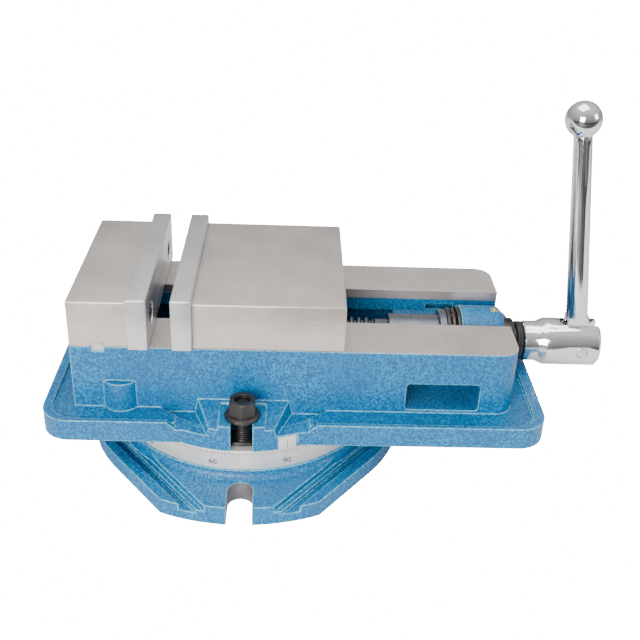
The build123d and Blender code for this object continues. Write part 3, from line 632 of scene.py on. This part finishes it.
def grownMesh(name, tree, values):
    carrier = bpy.data.objects.new(name + "Carrier", bpy.data.meshes.new(name + "Carrier"))
    bpy.context.scene.collection.objects.link(carrier)
    modifier = carrier.modifiers.new("grow", "NODES")
    modifier.node_group = tree
    sockets = {s.name: s.identifier for s in tree.interface.items_tree if s.in_out == "INPUT"}
    for label, value in values.items():
        modifier[sockets[label]] = value
    graph = bpy.context.evaluated_depsgraph_get()
    mesh = bpy.data.meshes.new_from_object(carrier.evaluated_get(graph))
    mesh.name = name
    carrier.modifiers.remove(modifier)
    bpy.data.objects.remove(carrier)
    return mesh


def makeMarks():
    look = scaleLook
    tree = markTree()
    turn = Matrix.Rotation(math.radians(indexAngle - 90), 3, "Z")
    for name, count, length in (
        ("marksOne", 360, "short"),
        ("marksFive", 72, "middle"),
        ("marksTen", 36, "long"),
    ):
        mesh = grownMesh(name, tree, {
            "Count": count, "Every": 2 * math.pi / count, "Reach": look["reach"], "Top": look["top"],
            "Length": look[length], "Width": look["width"], "Proud": look["proud"], "Look": materials["ink"],
        })
        work = bmesh.new()
        work.from_mesh(mesh)
        bmesh.ops.rotate(work, verts=work.verts, matrix=turn)
        work.to_mesh(mesh)
        work.free()
        finishPiece(name, mesh, "swivel_base", ["ink"], [], "black_oxide")


# a number's mesh, wrapped round the ring and read from outside
def wrappedNumber(text, heading):
    look = scaleLook
    curve = bpy.data.curves.new("number" + text, "FONT")
    curve.body = text
    curve.size = look["textSize"]
    curve.align_x = "CENTER"
    curve.offset = 0.06 * mm
    carrier = bpy.data.objects.new("numberCarrier", curve)
    bpy.context.scene.collection.objects.link(carrier)
    graph = bpy.context.evaluated_depsgraph_get()
    mesh = bpy.data.meshes.new_from_object(carrier.evaluated_get(graph))
    bpy.data.objects.remove(carrier)
    for vertex in mesh.vertices:
        angle = math.radians(heading) + vertex.co.x * 1.05 / look["reach"]
        reach = look["reach"] + look["proud"]
        vertex.co = Vector((reach * math.sin(angle), -reach * math.cos(angle), look["textZ"] + vertex.co.y))
    return mesh


def makeNumbers():
    work = bmesh.new()
    for value in range(0, 360, 30):
        work.from_mesh(wrappedNumber(str(value), indexAngle + value - 90))
    bmesh.ops.remove_doubles(work, verts=work.verts, dist=0.001 * mm)
    mesh = bpy.data.meshes.new("numbers")
    work.to_mesh(mesh)
    work.free()
    finishPiece("ringNumbers", mesh, "swivel_base", ["ink"], [], "black_oxide")


makeMarks()
makeNumbers()


# one dark line on the body's index land
def makeIndexLine():
    work = bmesh.new()
    bmesh.ops.create_cube(work, size=1.0)
    size = Matrix.Diagonal((0.5 * mm, 0.35 * mm, 7.5 * mm, 1))
    turn = Matrix.Rotation(math.radians(indexAngle - 90), 4, "Z")
    work.transform(turn @ Matrix.Translation((107.67 * mm, 0, seatZ + 4.4 * mm)) @ size)
    mesh = bpy.data.meshes.new("indexLine")
    work.to_mesh(mesh)
    work.free()
    finishPiece("indexLine", mesh, "vise_body", ["ink"], [], "black_oxide")


makeIndexLine()
print("scale made")


# ---------- floor, light and camera ----------
stageLook = {
    "floor": (0.86, 0.86, 0.86, 1), "room": (0.03, 0.03, 0.032, 1), "glow": 22.0,
    "key": 42.0, "top": 17.0, "side": 7.0,
    "horizon": 0.40, "zenith": 0.95, "seen": 24.0, "tableEdge": 0.30, "front": 0.25,
}


# white where it is seen directly; reflections see a table that ends in a darker room
def makeFloor():
    mesh = bpy.data.meshes.new("floor")
    mesh.from_pydata([(-9, -9, 0), (9, -9, 0), (9, 9, 0), (-9, 9, 0)], [], [(0, 1, 2, 3)])
    floor = bpy.data.objects.new("floor", mesh)
    bpy.context.scene.collection.objects.link(floor)
    material, tree, shader = startMaterial("floorPale", Roughness=0.7)
    shader.inputs["Base Color"].default_value = stageLook["floor"]
    shader.inputs["Emission Color"].default_value = (1, 1, 1, 1)
    path = addNode(tree, "ShaderNodeLightPath")
    glow = mathNode(tree, "MULTIPLY", path.outputs["Is Camera Ray"], stageLook["glow"])
    tree.links.new(glow, shader.inputs["Emission Strength"])
    place = addNode(tree, "ShaderNodeTexCoord")
    parts = addNode(tree, "ShaderNodeSeparateXYZ")
    tree.links.new(place.outputs["Object"], parts.inputs[0])
    beyond = remap(tree, parts.outputs["Y"], -stageLook["tableEdge"], -stageLook["tableEdge"] - 0.06)
    dark = mathNode(tree, "MULTIPLY", path.outputs["Is Glossy Ray"], beyond)
    colour = mixColour(tree, dark, stageLook["floor"], stageLook["room"])
    tree.links.new(colour, shader.inputs["Base Color"])
    mesh.materials.append(material)


def makeWorld():
    look = stageLook
    world = bpy.data.worlds.new("studio")
    world.use_nodes = True
    tree = world.node_tree
    back = tree.nodes["Background"]
    place = addNode(tree, "ShaderNodeTexCoord")
    parts = addNode(tree, "ShaderNodeSeparateXYZ")
    tree.links.new(place.outputs["Generated"], parts.inputs[0])
    rise = remap(tree, parts.outputs["Z"], 0.12, 0.85, look["horizon"], look["zenith"])
    path = addNode(tree, "ShaderNodeLightPath")
    seen = mathNode(tree, "MULTIPLY", path.outputs["Is Camera Ray"], look["seen"])
    front = remap(tree, parts.outputs["Y"], -0.45, -0.75, 1.0, 1.0 - look["front"])
    room = mathNode(tree, "MULTIPLY", rise, front)
    tree.links.new(mathNode(tree, "ADD", room, seen), back.inputs["Strength"])
    back.inputs["Color"].default_value = (1, 1, 1, 1)
    bpy.context.scene.world = world


def makeLights():
    aim = Vector((0.04, 0, 0.1))
    for name, power, size, spot in (
        ("keyLight", stageLook["key"], 0.9, (-0.5, -1.6, 0.7)),
        ("topLight", stageLook["top"], 1.2, (0.0, 0.1, 1.7)),
        ("sideLight", stageLook["side"], 0.6, (1.6, -0.5, 0.8)),
    ):
        data = bpy.data.lights.new(name, "AREA")
        data.energy = power
        data.size = size
        lamp = bpy.data.objects.new(name, data)
        lamp.location = spot
        lamp.rotation_euler = (aim - Vector(spot)).to_track_quat("-Z", "Y").to_euler()
        bpy.context.scene.collection.objects.link(lamp)


cameraLook = {
    "place": (32.29 * mm, -675.31 * mm, 469.37 * mm),
    "right": (0.9991377, -0.01750845, 0.03764718),
    "down": (0.02433148, -0.48781089, -0.87261018),
    "lens": 53.33,
}


def makeCamera():
    look = cameraLook
    right = Vector(look["right"])
    up = -Vector(look["down"])
    back = right.cross(up)
    turn = Matrix((right, up, back)).transposed().to_4x4()
    data = bpy.data.cameras.new("camera")
    data.lens = look["lens"]
    data.sensor_width = 36.0
    camera = bpy.data.objects.new("camera", data)
    camera.matrix_world = Matrix.Translation(look["place"]) @ turn
    bpy.context.scene.collection.objects.link(camera)
    bpy.context.scene.camera = camera


makeFloor()
makeWorld()
makeLights()
makeCamera()
print("stage made")
